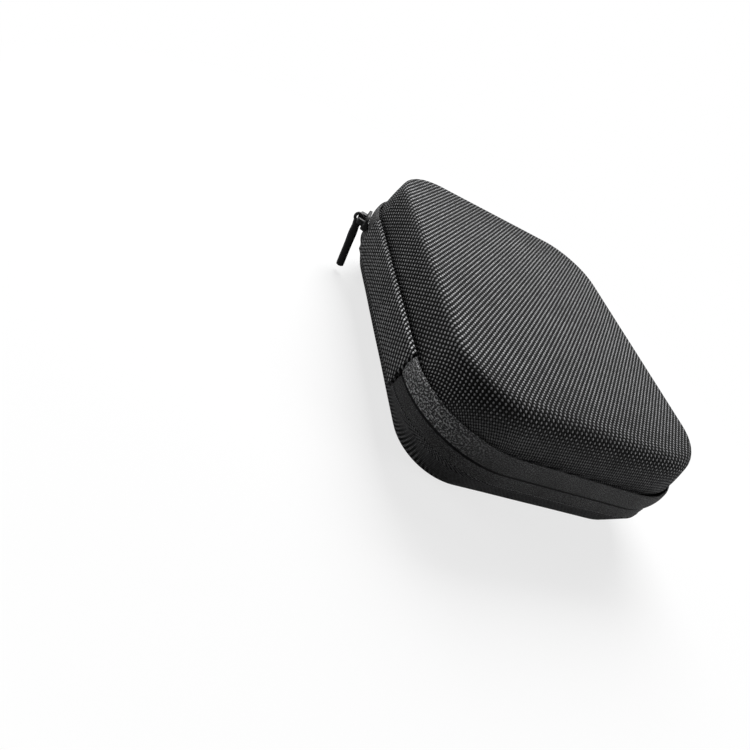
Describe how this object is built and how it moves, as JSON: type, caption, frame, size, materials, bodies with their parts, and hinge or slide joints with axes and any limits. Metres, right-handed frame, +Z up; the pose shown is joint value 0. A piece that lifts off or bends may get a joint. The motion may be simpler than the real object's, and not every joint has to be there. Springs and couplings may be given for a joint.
{
  "type": "hard carrying case",
  "caption": "Rounded hard-shell carrying case in woven cloth with a zip round three sides, a cloth spine on the fourth, and a net pocket and strap inside.",
  "frame": {"origin": "centre of the flat underside, where the closed case rests", "axes": "+Z up from underside to lid; +Y along the cloth spine, towards the corner where the closed slider sits; +X across the case, away from the spine"},
  "size_m": [0.1296, 0.15, 0.0465],
  "materials": {
    "shell_cloth": "woven nylon laminate, slightly glossy on the yarns",
    "zip_tape": "fine twill tape",
    "zip_coil": "nylon coil",
    "binding": "grosgrain binding",
    "net": "open knitted net",
    "elastic": "woven elastic",
    "slider_metal": "black enamel with bright worn edges",
    "pull_metal": "matt black"
  },
  "bodies": {
    "base": {"base_shell": "shell_cloth", "lower_zip_tape": "zip_tape", "lower_zip_coil": "zip_coil", "base_bound_edge": "binding", "base_strap": "elastic", "spine_gusset": "shell_cloth"},
    "lid": {"lid_shell": "shell_cloth", "upper_zip_tape": "zip_tape", "upper_zip_coil": "zip_coil", "lid_bound_edge": "binding", "lid_net_pocket": "net", "net_hem": "elastic", "zip_closed_end": "zip_tape"},
    "slider": {"zip_slider": "slider_metal"},
    "pull": {"zip_pull": "pull_metal"}
  },
  "joints": [
    {"name": "lid_hinge", "type": "hinge", "parent": "base", "child": "lid", "pos_m": [-0.0635, 0, 0.02325], "axis": [0, -1, 0], "range_deg": [0, 180], "deforming": ["spine_gusset", "zip_closed_end"]},
    {"name": "slider_travel", "type": "hinge", "parent": "base", "child": "slider", "pos_m": [-0.0285, 0.041, 0.0225], "axis": [0, 0, -1], "range_deg": [0, 70]},
    {"name": "pull_swing", "type": "hinge", "parent": "slider", "child": "pull", "pos_m": [-0.0647, 0.05354, 0.0225], "axis": [0.342, 0.9397, 0], "range_deg": [0, 180]}
  ]
}
